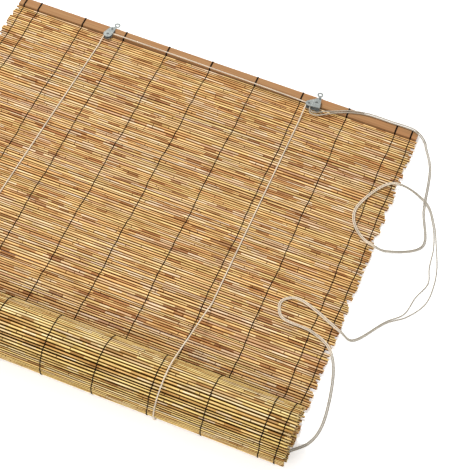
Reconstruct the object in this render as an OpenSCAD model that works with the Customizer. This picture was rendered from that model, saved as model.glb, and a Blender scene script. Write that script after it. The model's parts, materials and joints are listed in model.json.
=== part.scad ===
/* [Blind] */
// Width of the blind, which is the length of its head rail
blind_w = 900; // [800:5:1100]
// Distance from the rail's top edge down to the axis of the roll
drop = 791; // [760:1:860]

/* [Head rail] */
// Height of the flat batten
rail_h = 22; // [18:0.5:32]
// Thickness of the batten
rail_t = 8; // [6:0.5:12]
// Rounding of the batten's long edges
rail_edge_r = 1.2; // [0.4:0.1:2.5]

/* [Reed mat] */
// Spacing of the reeds
reed_pitch = 6.2; // [5.8:0.1:9]
// Thickness of a reed
reed_d = 4.8; // [3.6:0.1:5.2]
// Width of a reed
reed_w = 5.3; // [4:0.1:5.4]
// Thickness of the wall that joins the reeds
web_t = 1.2; // [0.8:0.1:2]
// Width of the slits that let light through between reeds
slit_w = 0.5; // [0.2:0.05:0.55]
// Shortest slit
slit_min = 60; // [20:5:80]
// Longest slit
slit_max = 200; // [100:5:240]
// How far the longest reeds reach past the rail's ends
reed_over = 4; // [0:0.5:8]
// Most by which the reeds' ends fall short of the longest ones
ragged = 9; // [2:0.5:14]

/* [Warp threads] */
// Width of a warp thread on the reeds
thread_w = 2; // [1:0.1:3]
// Thickness of a warp thread
thread_t = 0.8; // [0.4:0.05:1]
// Width of the doubled stitch round the rail
stitch_w = 4.5; // [3:0.1:7]

/* [Roll] */
// Largest radius of the rolled part
roll_r = 58.5; // [50:0.5:66]
// Spacing of the roll's turns
turn_pitch = 7.5; // [7:0.1:9]
// Radius of the open core inside the innermost turn
core_r = 12.45; // [11:0.05:16]
// Radius of the stick in the middle of the roll, which is the blind's lower end
bar_r = 7; // [5:0.25:8]

/* [Lift cords] */
// Diameter of the cotton cord
cord_d = 3; // [2.4:0.1:3.2]
// Distance from the fourth warp thread out to the left lift cord
left_cord_gap = 40.8; // [30:0.1:50]
// How far the left lift cord slants outwards on its way to the roll
left_cord_slant = 28; // [0:1:40]
// Distance from the eighth warp thread out to the right lift cord
right_cord_gap = 16.25; // [12:0.05:40]
// How far in front of the roll's axis the lift cords leave the mat
lift_off = 230; // [180:5:300]

/* [Fittings] */
// Thickness of the galvanised sheet
plate_t = 1.2; // [0.8:0.1:1.6]
// Outer radius of a hanging eye
eye_r = 6.5; // [5.5:0.1:8]
// Radius of the hole in a hanging eye
eye_hole_r = 3; // [2:0.1:4]
// Height of a hanging eye's centre above the rail's top edge
eye_rise = 8; // [7:0.5:12]
// Radius of the cord's middle line on the pulley's wheel
pulley_r = 6.5; // [5.5:0.1:7.5]
// Radius of the cord's middle line on the lock's wheel
lock_r = 4.6; // [4.4:0.1:5]
// Radius of the wheels' rivets
rivet_r = 1.5; // [1:0.05:1.6]
// Running clearance of a wheel on its rivet
running = 0.05; // [0.02:0.01:0.1]
// Radius of a fixing screw's shank
screw_r = 1.25; // [1:0.05:1.5]

/* [Hidden] */
$fn = 48;

// Gap kept between curved faces that meet
clear = 0.3;
// Gap kept between a thread and what it lies on
touch = 0.05;
// Length by which a cut runs past a face
overrun = 1;
// Sides of a cord's tube, and its steps round a wheel
cord_sides = 8;
wrap_steps = 6;
// Places of the warp threads, as shares of half the blind's width
warp_shares = [-0.972, -0.898, -0.669, -0.456, -0.237, -0.018, 0.209, 0.435, 0.663, 0.898, 0.972];
// The lift cords run beside these two threads
left_cord_x = left_cord_gap - warp_x(3);
right_cord_x = right_cord_gap + warp_x(7);
// Seed of the reeds' uneven ends and of the slits' places
reed_seed = 11;

// The rail's top edge, placed so that the origin is under the middle of the part's box
top_y = (drop + roll_r + clear + cord_d - eye_rise - eye_r) / 2;
rail_low_y = top_y - rail_h;
axis_y = top_y - drop;

// Heights: the back cords lie on the ground and carry the rail and the reeds
mat_z = cord_d + clear;
reed_z = mat_z + reed_d / 2;
mat_top_z = mat_z + reed_d;
rail_top_z = mat_z + rail_t;
axis_z = mat_z + roll_r;
cord_r = cord_d / 2;

// Straight lengths in one turn of thread, and how far they stand off the crests
thread_steps = 24;
chord_rise = roll_r * (1 / cos(180 / thread_steps) - 1);

// The flat reeds run from under the rail to where the roll's underside begins
first_gap = thread_t + 2 * touch + clear;
roll_reach = roll_r + touch + chord_rise + thread_t + clear;
mat_end_y = axis_y + sqrt(pow(roll_reach, 2) - pow(axis_z - mat_top_z - thread_t - touch, 2));
mat_start_y = rail_low_y - first_gap;
reed_count = floor((mat_start_y - mat_end_y) / reed_pitch);
reed_ends = rands(0, 1, 2 * reed_count, reed_seed);
slit_places = rands(0, 1, 2 * reed_count, reed_seed + 1);

// The roll's spiral: turn angle in degrees counted inwards from the underside
spiral_r = roll_r - reed_d / 2;
spiral_c = turn_pitch / (4 * PI);
turns = (roll_r - reed_d - core_r) / turn_pitch;
spiral_length = spiral_r * turns * 2 * PI - spiral_c * pow(turns * 2 * PI, 2);
roll_reeds = floor(spiral_length / reed_pitch);
// The last two reeds before the underside of the innermost turn, on which the stick lies
core_turns = floor(turns) * 2 * PI;
core_reed = min(floor((spiral_r * core_turns - spiral_c * pow(core_turns, 2)) / reed_pitch - 0.5), roll_reeds - 2);
// Half of the flat crest of a reed, as a share of the reed's width
crest_share = 0.25;

// Wheels between the cheeks of the two fittings
wheel_lip = 1;
groove_r = cord_r + clear;
wheel_t = 2 * groove_r + clear;
wheel_z = rail_top_z + plate_t + clear;
low_cord_z = wheel_z + wheel_t / 2;
high_cord_z = low_cord_z + wheel_t;
rivet_head_share = 1.7;
rivet_head_r = rivet_head_share * rivet_r;
rivet_head_t = rivet_r / 2;

// Depth of the fixing screws below the rail's top edge, and height of the cords' holes above its lower edge
boss_drop = 11;
hole_y = rail_low_y + 2 * cord_d;

// The pulley on the left of the rail: its wheel below the rail's edge, and how far right of it the eye and the
// boss stand
pulley_drop = 5;
pulley_eye_shift = 7.5;
pulley_boss_shift = 3.5;
pulley_at = [pulley_r - left_cord_x, rail_low_y - pulley_drop];
pulley_cheek_r = pulley_r + wheel_lip + cord_r;
pulley_front_z = wheel_z + wheel_t + clear;
pulley_eye_at = [pulley_at[0] + pulley_eye_shift, top_y + eye_rise];
pulley_boss_at = [pulley_at[0] + pulley_boss_shift, top_y - boss_drop];
pulley_shoulder_r = 6.4;
neck_r = 3;
boss_r = 2.6;

// The cord lock on the right of the rail: its wheel, and how far from it the other places lie
lock_drop = 9;
lock_eye_shift = 13;
lock_boss_shift = 17.5;
lock_heel_shift = [22, -2];
pawl_shift = [13.9, 8];
lock_at = [right_cord_x + lock_r, rail_low_y - lock_drop];
lock_cheek_r = lock_r + wheel_lip + cord_r;
lock_front_z = wheel_z + 2 * wheel_t + clear;
lock_eye_at = [lock_at[0] + lock_eye_shift, top_y + eye_rise];
lock_boss_at = [lock_at[0] + lock_boss_shift, top_y - boss_drop];
lock_heel_at = lock_at + lock_heel_shift;
lock_corner_r = 3;
pawl_at = lock_at + pawl_shift;
pawl_r = 3.2;
pawl_nose_r = 1.6;
pawl_nose_rise = 1.5;
pawl_nose_at = lock_at + [lock_r + cord_r + 2 * clear + pawl_nose_r, pawl_nose_rise];
pawl_teeth = 3;

// Screws
screw_head_r = 2.4;
screw_head_t = 1.5;
screw_depth = 6;

// Height at which a free cord rests on the threads of the mat, and on those of the rail
on_mat = 10.8;
on_rail = 13.8;
on_floor = 1.5;
// Routes of the two pull cords from the lock along the rail to its end
upper_lead = [[222.6, 379.6, 14], [228, 377.4, 11.6], [239, 380.6, 11.6], [253, 387.6, 13], [268, 394.4, on_rail],
              [300, 410.4, on_rail], [336, 419.4, on_rail], [390, 420.4, on_rail], [440, 419.6, on_rail],
              [457, 411, 12.6]];
lower_lead = [[221.8, 378.6, 17.2], [225.4, 372.6, 12], [238, 372, on_mat], [254, 380.4, 11.6], [270, 389.8, on_rail],
              [302, 406, on_rail], [336.4, 415, on_rail], [390, 416, on_rail], [440, 415.2, on_rail],
              [453.6, 408.6, 13]];
// Route of the pair from the rail's end to the knot under the roll: place, height and half of the spacing
tail_route = [[474, 393, 2, 2.2], [497, 346, on_floor, 2.2], [517, 236, on_floor, 2.2], [539, 150, on_floor, 2.2],
              [474, 109, 4, 2.2], [452, 106, 11.6, 2.2], [424, 117, on_mat, 2.2], [397, 148, on_mat, 2.2],
              [392, 184, on_mat, 2.2], [442, 270, 11.4, 2.2], [514, 255, 5.4, 2.2], [544, 212, 3, 2.2],
              [563, 160, on_floor, 3.2], [574, 110, on_floor, 8], [581, 72, on_floor, 6.5],
              [573, 28, on_floor, 12], [556, -16, on_floor, 4.5], [527, -45, on_floor, 2.2],
              [479, -110, 2.2, 2.2], [452, -105, 11.6, 2.2], [354, -69, on_mat, 2.2], [330, -88, on_mat, 2.2],
              [342, -119, on_mat, 2.2], [404, -127, on_mat, 2.2], [445, -147, 11.6, 2.2], [467, -180, 4, 2.2],
              [487, -302, on_floor, 2.2], [476, -344, on_floor, 2.2], [452, -370, on_floor, 2.2],
              [430, -394.2, on_floor, 2.2]];
// Straight stretch with which a pull cord runs into its route, as a share of the route's first step
join_share = 0.25;
// Barrel of the knot: at its middle, at its ends and from end to end
knot_r = 3.6;
knot_end_r = 3.2;
knot_l = 9;
// Where the pull cords leave the lock's wheel, and how far they stay level, past its rim
lock_exit_x = lock_at[0] + lock_r;
lock_exit_y = lock_at[1] - 2 * clear;
lock_level_y = lock_at[1] - lock_r - wheel_lip;

// Lift cords between the mat and the roll: where they leave the mat and where they meet the roll
left_roll_x = -left_cord_x - left_cord_slant;
mat_cord_z = mat_top_z + cord_r + 2 * touch;
bight_r = roll_r + clear + cord_r;
lift_from = [axis_y + lift_off, mat_cord_z];
lift_drop = mat_cord_z - axis_z;
bight_start = atan2(lift_drop, lift_off) + acos(bight_r / norm([lift_off, lift_drop]));
bight_gap = clear / bight_r * 180 / PI;
bight_end = [axis_y, axis_z] + bight_r * heading(bight_start - bight_gap);
// Run in which a lift cord comes down to the mat, as a share of its drop
land_share = 5;

// Colours
batten_brown = [0.70, 0.50, 0.32];
reed_straw = [0.80, 0.66, 0.44];
thread_brown = [0.17, 0.11, 0.06];
zinc_grey = [0.62, 0.64, 0.63];
steel_grey = [0.48, 0.49, 0.50];
cotton_cream = [0.90, 0.83, 0.74];

function unit(v) = v / norm(v);
function heading(angle) = [cos(angle), sin(angle)];
function along(points, i) = unit(points[min(i + 1, len(points) - 1)] - points[max(i - 1, 0)]);
function warp_x(i) = warp_shares[i] * blind_w / 2;
function reed_y(k) = mat_start_y - reed_pitch * (k + 0.5);
function reed_end(k, side) = blind_w / 2 + reed_over - ragged * reed_ends[2 * k + side];

// Points of one of the paired pull cords, side +1 or -1 of the route
function strand(route, side) = [
    for (i = [0 : len(route) - 1])
        let (place = [for (p = route) [p[0], p[1], p[2]]],
             t = along(place, i),
             across = unit([-t[1], t[0], 0]))
        place[i] + side * route[i][3] * across];

// Arc of a cord round a wheel, from one angle to another, at one height
function wrap(centre, radius, from, to, z) = [
    for (k = [0 : wrap_steps])
        let (at = centre + radius * heading(from + (to - from) * k / wrap_steps)) [at[0], at[1], z]];

// Turn angle, in degrees, at a length counted along the spiral
function spiral_turn(s) = (spiral_r - sqrt(pow(spiral_r, 2) - 4 * spiral_c * s)) / (2 * spiral_c) * 180 / PI;
function spiral_point(turn, offset) =
    (spiral_r + offset - turn_pitch * turn / 360) * heading(270 - turn);

// Ring of points round a cord at one point of its route
function cord_ring(points, i, radius) =
    let (t = along(points, i),
         across = unit(cross([0, 0, 1], t)),
         above = cross(t, across))
    [for (k = [0 : cord_sides - 1])
        let (a = 360 * k / cord_sides)
        points[i] + radius * (cos(a) * across + sin(a) * above)];

// Tube of a cord along its route
module cord_tube(points) {
    rings = len(points);
    sides = cord_sides;
    polyhedron(
        points = [for (i = [0 : rings - 1]) each cord_ring(points, i, cord_r)],
        faces = concat(
            [[for (k = [0 : sides - 1]) k]],
            [for (i = [0 : rings - 2], k = [0 : sides - 1])
                [i * sides + k, (i + 1) * sides + k, (i + 1) * sides + (k + 1) % sides, i * sides + (k + 1) % sides]],
            [[for (k = [sides - 1 : -1 : 0]) (rings - 1) * sides + k]]));
}

// Extrudes a section drawn in Y and Z over a length along X
module section_along_x(from, length) {
    translate([from, 0, 0]) rotate([90, 0, 90]) linear_extrude(length) children();
}

// Two discs and the straight-sided web between them
module link(a, ra, b, rb) {
    reach = b - a;
    base = atan2(reach[1], reach[0]);
    spread = acos((ra - rb) / norm(reach));
    polygon([a + ra * heading(base + spread), b + rb * heading(base + spread),
             b + rb * heading(base - spread), a + ra * heading(base - spread)]);
    translate(a) circle(ra);
    translate(b) circle(rb);
}

module head_rail() color(batten_brown) difference() {
    section_along_x(-blind_w / 2, blind_w) translate([rail_low_y, mat_z]) rounded_section();
    for (at = [pulley_boss_at, lock_boss_at])
        translate([at[0], at[1], rail_top_z - screw_depth]) cylinder(r = screw_r + touch, h = screw_depth + overrun);
    for (at = [pulley_at, lock_at])
        translate([at[0], hole_y, mat_z - overrun])
            cylinder(r = cord_r + clear, h = rail_t / 2 + overrun);
}

// Section of the batten with its rounded long edges
module rounded_section() {
    translate([rail_edge_r, 0]) square([rail_h - 2 * rail_edge_r, rail_t]);
    translate([0, rail_edge_r]) square([rail_h, rail_t - 2 * rail_edge_r]);
    for (y = [rail_edge_r, rail_h - rail_edge_r], z = [rail_edge_r, rail_t - rail_edge_r])
        translate([y, z]) circle(rail_edge_r);
}

// One wall of reeds: ridges over a thin web with a slit in every third gap
module reed_mat() color(reed_straw) {
    translate([0, 0, reed_z - web_t / 2]) linear_extrude(web_t) difference() {
        translate([ragged - blind_w / 2, reed_y(reed_count - 1)])
            square([blind_w - 2 * ragged, reed_y(0) - reed_y(reed_count - 1)]);
        for (k = [1 : 3 : reed_count - 2]) reed_slit(k);
    }
    for (k = [0 : reed_count - 1])
        section_along_x(-reed_end(k, 0), reed_end(k, 0) + reed_end(k, 1)) translate([reed_y(k), reed_z]) reed_section();
}

// Six-sided section of a split reed
module reed_section() {
    crest = crest_share * reed_w;
    polygon([[reed_w / 2, 0], [crest, reed_d / 2], [-crest, reed_d / 2],
             [-reed_w / 2, 0], [-crest, -reed_d / 2], [crest, -reed_d / 2]]);
}

// Slit in the gap after one reed
module reed_slit(k) {
    length = slit_min + (slit_max - slit_min) * slit_places[2 * k];
    room = blind_w - 2 * ragged - 2 * slit_min - length;
    translate([ragged + slit_min - blind_w / 2 + room * slit_places[2 * k + 1], reed_y(k) - (reed_pitch + slit_w) / 2])
        square([length, slit_w]);
}

// The rolled part of the mat, one spiral band with a ridge for every reed
module mat_roll() color(reed_straw) {
    outer = [for (k = [0 : roll_reeds - 1]) each reed_ridge(k, 1)];
    inner = [for (k = [roll_reeds - 1 : -1 : 0]) each reed_ridge(k, -1)];
    half_w = blind_w / 2 + reed_over - ragged / 2;
    section_along_x(-half_w, 2 * half_w)
        translate([axis_y, axis_z]) polygon(concat(outer, inner));
}

// Valley and crest of one ridge, outwards for side +1 and inwards for side -1, flat-topped on the outside
function reed_ridge(k, side) =
    let (s = reed_pitch * (k + 0.5),
         valley = s - side * reed_pitch / 2,
         crest = crest_share * reed_w,
         outer_turn = side > 0 && spiral_turn(s) < 360,
         crests = outer_turn ? [s - crest, s + crest] : [s])
    concat([spiral_point(spiral_turn(valley), side * web_t / 2)],
           [for (c = crests) spiral_point(spiral_turn(c), side * reed_d / 2)]);

// The stick lies in the core on two reeds of the innermost turn
module bottom_bar() color(batten_brown) {
    seats = [for (k = [core_reed, core_reed + 1]) spiral_point(spiral_turn(reed_pitch * (k + 0.5)), -reed_d / 2)];
    middle = (seats[0] + seats[1]) / 2;
    chord = seats[1] - seats[0];
    rise = sqrt(pow(bar_r + touch, 2) - pow(norm(chord) / 2, 2));
    section_along_x(ragged - blind_w / 2, blind_w - 2 * ragged)
        translate([axis_y, axis_z] + middle + rise * unit([chord[1], -chord[0]])) circle(bar_r);
}

// The warp threads where they go round the roll
module roll_threads() color(thread_brown)
    for (i = [0 : len(warp_shares) - 1])
        section_along_x(warp_x(i) - thread_w / 2, thread_w) translate([axis_y, axis_z]) thread_turn();

// One turn of thread on the crests of the outer turn
module thread_turn() {
    step = 360 / thread_steps;
    low = reed_d / 2 + touch + chord_rise;
    outside = [for (k = [0 : thread_steps - 1]) spiral_point(k * step, low + thread_t)];
    inside = [for (k = [thread_steps - 1 : -1 : 0]) spiral_point(k * step, low)];
    polygon(concat(outside, inside));
}

// One warp thread: both faces of the flat mat and the stitch round the rail
module warp_thread(i) color(thread_brown) {
    gap = thread_t + touch;
    section_along_x(warp_x(i) - stitch_w / 2, stitch_w) difference() {
        translate([rail_low_y - gap, mat_z - gap]) square([rail_h + 2 * gap, rail_t + 2 * gap]);
        translate([rail_low_y - touch, mat_z - touch]) square([rail_h + 2 * touch, rail_t + 2 * touch]);
    }
    for (z = [mat_z - gap, mat_top_z + touch])
        section_along_x(warp_x(i) - thread_w / 2, thread_w)
            translate([mat_end_y, z]) square([rail_low_y - touch - thread_t / 2 - mat_end_y, thread_t]);
}

// Stamped sheet of the pulley: cheek, neck and hanging eye
module pulley_back_plate() color(zinc_grey) difference() {
    sheet(rail_top_z, plate_t) {
        link(pulley_at, pulley_cheek_r, pulley_boss_at, pulley_shoulder_r);
        link(pulley_boss_at, neck_r, pulley_eye_at, neck_r);
        translate(pulley_eye_at) circle(eye_r);
    }
    hole(pulley_eye_at, eye_hole_r);
    hole(pulley_at, rivet_r + touch);
    hole(pulley_boss_at, screw_r + touch);
}

// Outlines raised into one sheet, from a height and over a thickness
module sheet(z, thickness) {
    for (i = [0 : $children - 1]) translate([0, 0, z]) linear_extrude(thickness) children(i);
}

// Round hole through everything above the rail
module hole(at, radius) {
    translate([at[0], at[1], mat_z]) cylinder(r = radius, h = roll_r);
}

// Front cheek of the pulley, on a boss that keeps the cheeks apart
module pulley_front_plate() color(zinc_grey) difference() {
    union() {
        sheet(pulley_front_z, plate_t) link(pulley_at, pulley_cheek_r, pulley_boss_at, pulley_shoulder_r);
        sheet(rail_top_z + plate_t, pulley_front_z - rail_top_z) translate(pulley_boss_at) circle(boss_r);
    }
    hole(pulley_at, rivet_r + touch);
    hole(pulley_boss_at, screw_r + touch);
}

// Wheel with a round groove for each cord
module grooved_wheel(at, middle_r, grooves) {
    translate([at[0], at[1], wheel_z]) rotate_extrude() difference() {
        translate([rivet_r + running, 0]) square([middle_r + wheel_lip - rivet_r - running, grooves * wheel_t]);
        for (g = [0 : grooves - 1]) translate([middle_r, (g + 0.5) * wheel_t]) circle(groove_r);
    }
}

module pulley_wheel() color(steel_grey) grooved_wheel(pulley_at, pulley_r, 1);

module lock_wheel() color(steel_grey) grooved_wheel(lock_at, lock_r, 2);

// Rivet that joins two cheeks, flush with the rail and headed in front
module cheek_rivet(at, front_z) {
    translate([at[0], at[1], rail_top_z]) cylinder(r = rivet_r, h = front_z + plate_t - rail_top_z);
    translate([at[0], at[1], front_z + plate_t]) cylinder(r1 = rivet_head_r, r2 = rivet_r, h = rivet_head_t);
}

module pulley_rivet() color(steel_grey) cheek_rivet(pulley_at, pulley_front_z);

module lock_rivet() color(steel_grey) cheek_rivet(lock_at, lock_front_z);

module pawl_rivet() color(steel_grey) cheek_rivet(pawl_at, lock_front_z);

// Wedge-shaped cheek of the lock
module lock_cheek(z) {
    sheet(z, plate_t) {
        link(lock_at, lock_cheek_r, lock_boss_at, lock_corner_r);
        link(lock_boss_at, lock_corner_r, lock_heel_at, lock_corner_r);
        link(lock_heel_at, lock_corner_r, lock_at, lock_cheek_r);
        polygon([lock_at, lock_heel_at, lock_boss_at]);
    }
}

module lock_holes() {
    hole(lock_at, rivet_r + touch);
    hole(pawl_at, rivet_r + touch);
    hole(lock_boss_at, screw_r + touch);
}

// Stamped sheet of the lock: cheek, neck and hanging eye
module lock_back_plate() color(zinc_grey) difference() {
    union() {
        lock_cheek(rail_top_z);
        sheet(rail_top_z, plate_t) {
            link(lock_boss_at, neck_r, lock_eye_at, neck_r);
            translate(lock_eye_at) circle(eye_r);
        }
    }
    lock_holes();
    hole(lock_eye_at, eye_hole_r);
}

// Front cheek of the lock with the folded wall at its broad end
module lock_front_plate() color(zinc_grey) difference() {
    wall_r = plate_t / 2;
    inset = [lock_corner_r - wall_r - touch, 0];
    union() {
        lock_cheek(lock_front_z);
        sheet(rail_top_z + plate_t, lock_front_z - rail_top_z)
            link(lock_boss_at + inset, wall_r, lock_heel_at + inset, wall_r);
    }
    lock_holes();
}

// Toothed pawl that grips both cords against the wheel
module lock_pawl() color(steel_grey) {
    tooth = pawl_nose_r / pawl_teeth;
    difference() {
        sheet(wheel_z, 2 * wheel_t - clear) {
            link(pawl_at, pawl_r, pawl_nose_at, pawl_nose_r);
            for (k = [0 : pawl_teeth - 1])
                translate(pawl_nose_at + [0, (2 * k + 1 - pawl_teeth) * tooth])
                    polygon([[0, -tooth], [-pawl_nose_r - clear, 0], [0, tooth]]);
        }
        hole(pawl_at, rivet_r + running);
    }
}

// Pan-headed screws through the fittings into the rail
module fixing_screws() color(steel_grey) {
    fixing_screw(pulley_boss_at, pulley_front_z + plate_t);
    fixing_screw(lock_boss_at, lock_front_z + plate_t);
}

module fixing_screw(at, seat_z) {
    point_z = rail_top_z - screw_depth + clear;
    translate([at[0], at[1], point_z]) cylinder(r = screw_r, h = seat_z - point_z);
    translate([at[0], at[1], seat_z]) cylinder(r1 = screw_head_r, r2 = screw_r, h = screw_head_t);
}

// Lift cords: from a wheel down to the mat, along it, and up to the roll
module lift_cord(wheel_at, exit_x, exit_z, roll_x) {
    start_y = wheel_at[1] - clear;
    level_y = wheel_at[1] - pulley_cheek_r - clear;
    land_y = level_y - land_share * (exit_z - mat_cord_z);
    off_x = exit_x + (roll_x - exit_x) * (land_y - lift_from[0]) / (land_y - bight_end[0]);
    cord_tube([[exit_x, start_y, exit_z], [exit_x, level_y, exit_z], [exit_x, land_y, mat_cord_z],
               [off_x, lift_from[0], mat_cord_z], [roll_x, bight_end[0], bight_end[1]]]);
}

module left_front_cord() color(cotton_cream) lift_cord(pulley_at, -left_cord_x, low_cord_z, left_roll_x);

// The right lift cord also turns back over the lock's upper groove
module right_front_cord() color(cotton_cream) {
    lift_cord(lock_at, right_cord_x, high_cord_z, right_cord_x);
    cord_tube(wrap(lock_at, lock_r, 180, 0, high_cord_z));
}

// The left cord's run over the pulley, along the rail and over the lock's lower groove
module top_run_cord() color(cotton_cream)
    cord_tube(concat(wrap(pulley_at, pulley_r, 180, 90, low_cord_z), wrap(lock_at, lock_r, 90, 0, low_cord_z)));

// The stretch behind the mat, from under the roll to its hole in the rail's back
module back_cord(roll_x, hole_x) {
    cord_tube([[roll_x, axis_y + clear, cord_r], [hole_x, hole_y + cord_r, cord_r]]);
    translate([hole_x, hole_y, cord_r]) cylinder(d = cord_d, h = mat_z + rail_t / 2 - clear - cord_r);
}

module left_back_cord() color(cotton_cream) back_cord(left_roll_x, pulley_at[0]);

module right_back_cord() color(cotton_cream) back_cord(right_cord_x, lock_at[0]);

// The stretch that cradles the roll
module cord_bight(x) {
    translate([x, axis_y, axis_z]) rotate([90, 0, 90]) rotate([0, 0, bight_start])
        rotate_extrude(angle = 270 - bight_start) translate([bight_r, 0]) circle(cord_r);
}

module left_bight() color(cotton_cream) cord_bight(left_roll_x);

module right_bight() color(cotton_cream) cord_bight(right_cord_x);

// A pull cord from the lock along the rail, running straight into its tail
module pull_lead(exit_z, route, side) {
    tail = strand(tail_route, side);
    join = tail[0] + join_share * (tail[0] - tail[1]);
    start = [for (y = [lock_exit_y, lock_level_y]) [lock_exit_x, y, exit_z]];
    cord_tube(concat(start, route, [join, tail[0]]));
}

module upper_pull_lead() color(cotton_cream) pull_lead(low_cord_z, upper_lead, 1);

module lower_pull_lead() color(cotton_cream) pull_lead(high_cord_z, lower_lead, -1);

module upper_pull_tail() color(cotton_cream) cord_tube(strand(tail_route, 1));

module lower_pull_tail() color(cotton_cream) cord_tube(strand(tail_route, -1));

// Knot that joins the two pull cords
module pull_knot() color(cotton_cream) {
    end = tail_route[len(tail_route) - 1];
    before = tail_route[len(tail_route) - 2];
    translate([end[0], end[1], knot_r]) rotate([0, 90, atan2(end[1] - before[1], end[0] - before[0])]) {
        cylinder(r1 = knot_end_r, r2 = knot_r, h = knot_l / 2);
        translate([0, 0, knot_l / 2]) cylinder(r1 = knot_r, r2 = knot_end_r, h = knot_l / 2);
    }
}

head_rail();
reed_mat();
mat_roll();
bottom_bar();
roll_threads();
for (i = [0 : len(warp_shares) - 1])
    warp_thread(i);
pulley_back_plate();
pulley_front_plate();
pulley_wheel();
pulley_rivet();
lock_back_plate();
lock_front_plate();
lock_wheel();
lock_rivet();
lock_pawl();
pawl_rivet();
fixing_screws();
left_front_cord();
right_front_cord();
top_run_cord();
left_back_cord();
right_back_cord();
left_bight();
right_bight();
upper_pull_lead();
lower_pull_lead();
upper_pull_tail();
lower_pull_tail();
pull_knot();
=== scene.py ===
"""Looks of a reed roll-up blind that lies half rolled on a pale floor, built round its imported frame."""

from __future__ import annotations

import json
import logging
import math
import random
from dataclasses import dataclass, field, replace
from enum import Enum
from typing import Union

import bpy
import numpy as np
from mathutils import Matrix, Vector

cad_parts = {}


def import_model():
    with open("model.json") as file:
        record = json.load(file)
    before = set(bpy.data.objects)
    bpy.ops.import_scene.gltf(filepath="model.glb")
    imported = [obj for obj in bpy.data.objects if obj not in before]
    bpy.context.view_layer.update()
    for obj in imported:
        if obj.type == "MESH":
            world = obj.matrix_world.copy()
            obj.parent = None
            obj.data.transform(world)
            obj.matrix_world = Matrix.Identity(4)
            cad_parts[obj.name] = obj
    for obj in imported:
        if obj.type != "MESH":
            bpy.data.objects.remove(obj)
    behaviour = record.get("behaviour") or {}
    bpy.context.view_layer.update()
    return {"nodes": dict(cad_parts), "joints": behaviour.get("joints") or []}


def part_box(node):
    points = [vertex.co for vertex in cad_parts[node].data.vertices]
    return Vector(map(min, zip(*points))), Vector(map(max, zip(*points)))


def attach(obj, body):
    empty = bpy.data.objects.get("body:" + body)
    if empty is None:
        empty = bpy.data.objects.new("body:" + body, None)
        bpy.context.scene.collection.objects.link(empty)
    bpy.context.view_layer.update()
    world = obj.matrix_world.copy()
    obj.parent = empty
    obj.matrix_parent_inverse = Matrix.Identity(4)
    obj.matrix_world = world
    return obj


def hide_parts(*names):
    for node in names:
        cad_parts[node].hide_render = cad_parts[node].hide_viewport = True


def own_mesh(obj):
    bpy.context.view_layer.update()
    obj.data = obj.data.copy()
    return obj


LOG = logging.getLogger("reed_blind")

Pair = tuple[float, float]
Point = tuple[float, float, float]
Colour = tuple[float, float, float, float]
Socket = bpy.types.NodeSocket
Feed = Union[Socket, float, Colour]

# Places of the colour sockets on a mix node
COLOUR_INPUTS = (6, 7)
COLOUR_OUTPUT = 2


class Body(str, Enum):
    """Bodies of the frame that the pieces ride on."""

    ROOT = "root"
    CARRIAGE = "carriage"
    ROLL = "roll"


class Joint(str, Enum):
    """Joints of the frame that the looks follow."""

    ROLL_UP = "roll_up"
    ROLL_TURN = "roll_turn"


class Slot(str, Enum):
    """Material slots that the new pieces have in the record."""

    REED = "reed"
    THREAD = "thread"
    COTTON = "cotton_cord"


class Layer(str, Enum):
    """Point attributes that carry a surface's own coordinates into its finish."""

    GRAIN = "grain"
    MARK = "mark"


def paint(red: int, green: int, blue: int) -> Colour:
    """Turns a screen colour into the linear colour that shaders take, by the usual screen curve.

    Args:
        red: Red on the screen, 0 to 255.
        green: Green on the screen, 0 to 255.
        blue: Blue on the screen, 0 to 255.

    Returns:
        Linear red, green, blue and an alpha of one.
    """
    shares = [channel / 255 for channel in (red, green, blue)]
    bent = [c / 12.92 if c <= 0.04045 else ((c + 0.055) / 1.055) ** 2.4 for c in shares]
    return bent[0], bent[1], bent[2], 1.0


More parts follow.
